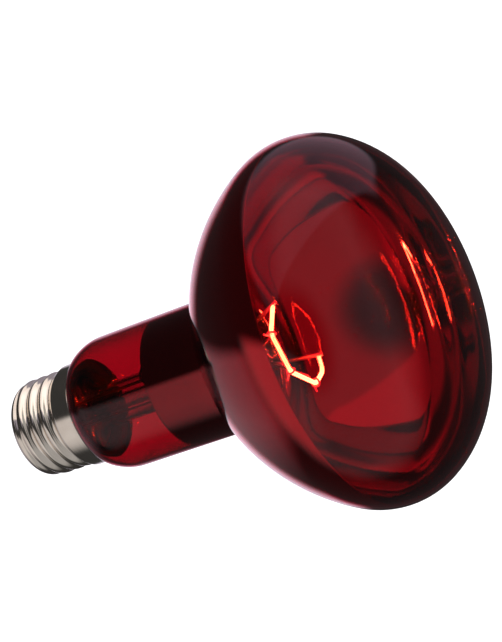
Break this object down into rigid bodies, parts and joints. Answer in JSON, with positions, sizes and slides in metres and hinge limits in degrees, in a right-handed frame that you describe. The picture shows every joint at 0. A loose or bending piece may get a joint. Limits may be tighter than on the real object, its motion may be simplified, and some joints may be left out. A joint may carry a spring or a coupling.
{
  "type": "infrared heat lamp bulb",
  "caption": "Ruby glass reflector bulb for infrared heat, with a domed window, a straight neck, a coiled filament and a nickel-plated screw cap",
  "frame": {"origin": "tip of the centre contact, on the lamp's axis", "axes": "+Z runs along the lamp's axis from the cap to the window; +X and +Y are square to it, and the camera of the picture looks along +Y and down"},
  "size_m": [0.095, 0.095, 0.1294],
  "materials": {
    "ruby_glass": "polished",
    "stem_glass": "polished",
    "seal_wire": "satin",
    "nickel_wire": "satin",
    "copper_wire": "satin",
    "support_wire": "satin",
    "tungsten": "satin",
    "nickel_plate": "polished",
    "black_insulator": "gloss",
    "brass": "satin",
    "solder": "satin",
    "cement": "matte"
  },
  "bodies": {
    "root": {"glass_envelope": "ruby_glass", "stem_flare": "stem_glass", "exhaust_tube": "stem_glass", "support_rod": "stem_glass", "seal_wire_a": "seal_wire", "seal_wire_b": "seal_wire", "upper_lead_a": "nickel_wire", "upper_lead_b": "nickel_wire", "lower_lead_centre": "copper_wire", "lower_lead_side": "copper_wire", "filament_support_1": "support_wire", "filament_support_2": "support_wire", "filament_support_3": "support_wire", "filament": "tungsten", "cap_shell": "nickel_plate", "cap_insulator": "black_insulator", "centre_contact": "brass", "contact_solder": "solder", "basing_cement": "cement", "side_solder": "solder"}
  },
  "joints": []
}
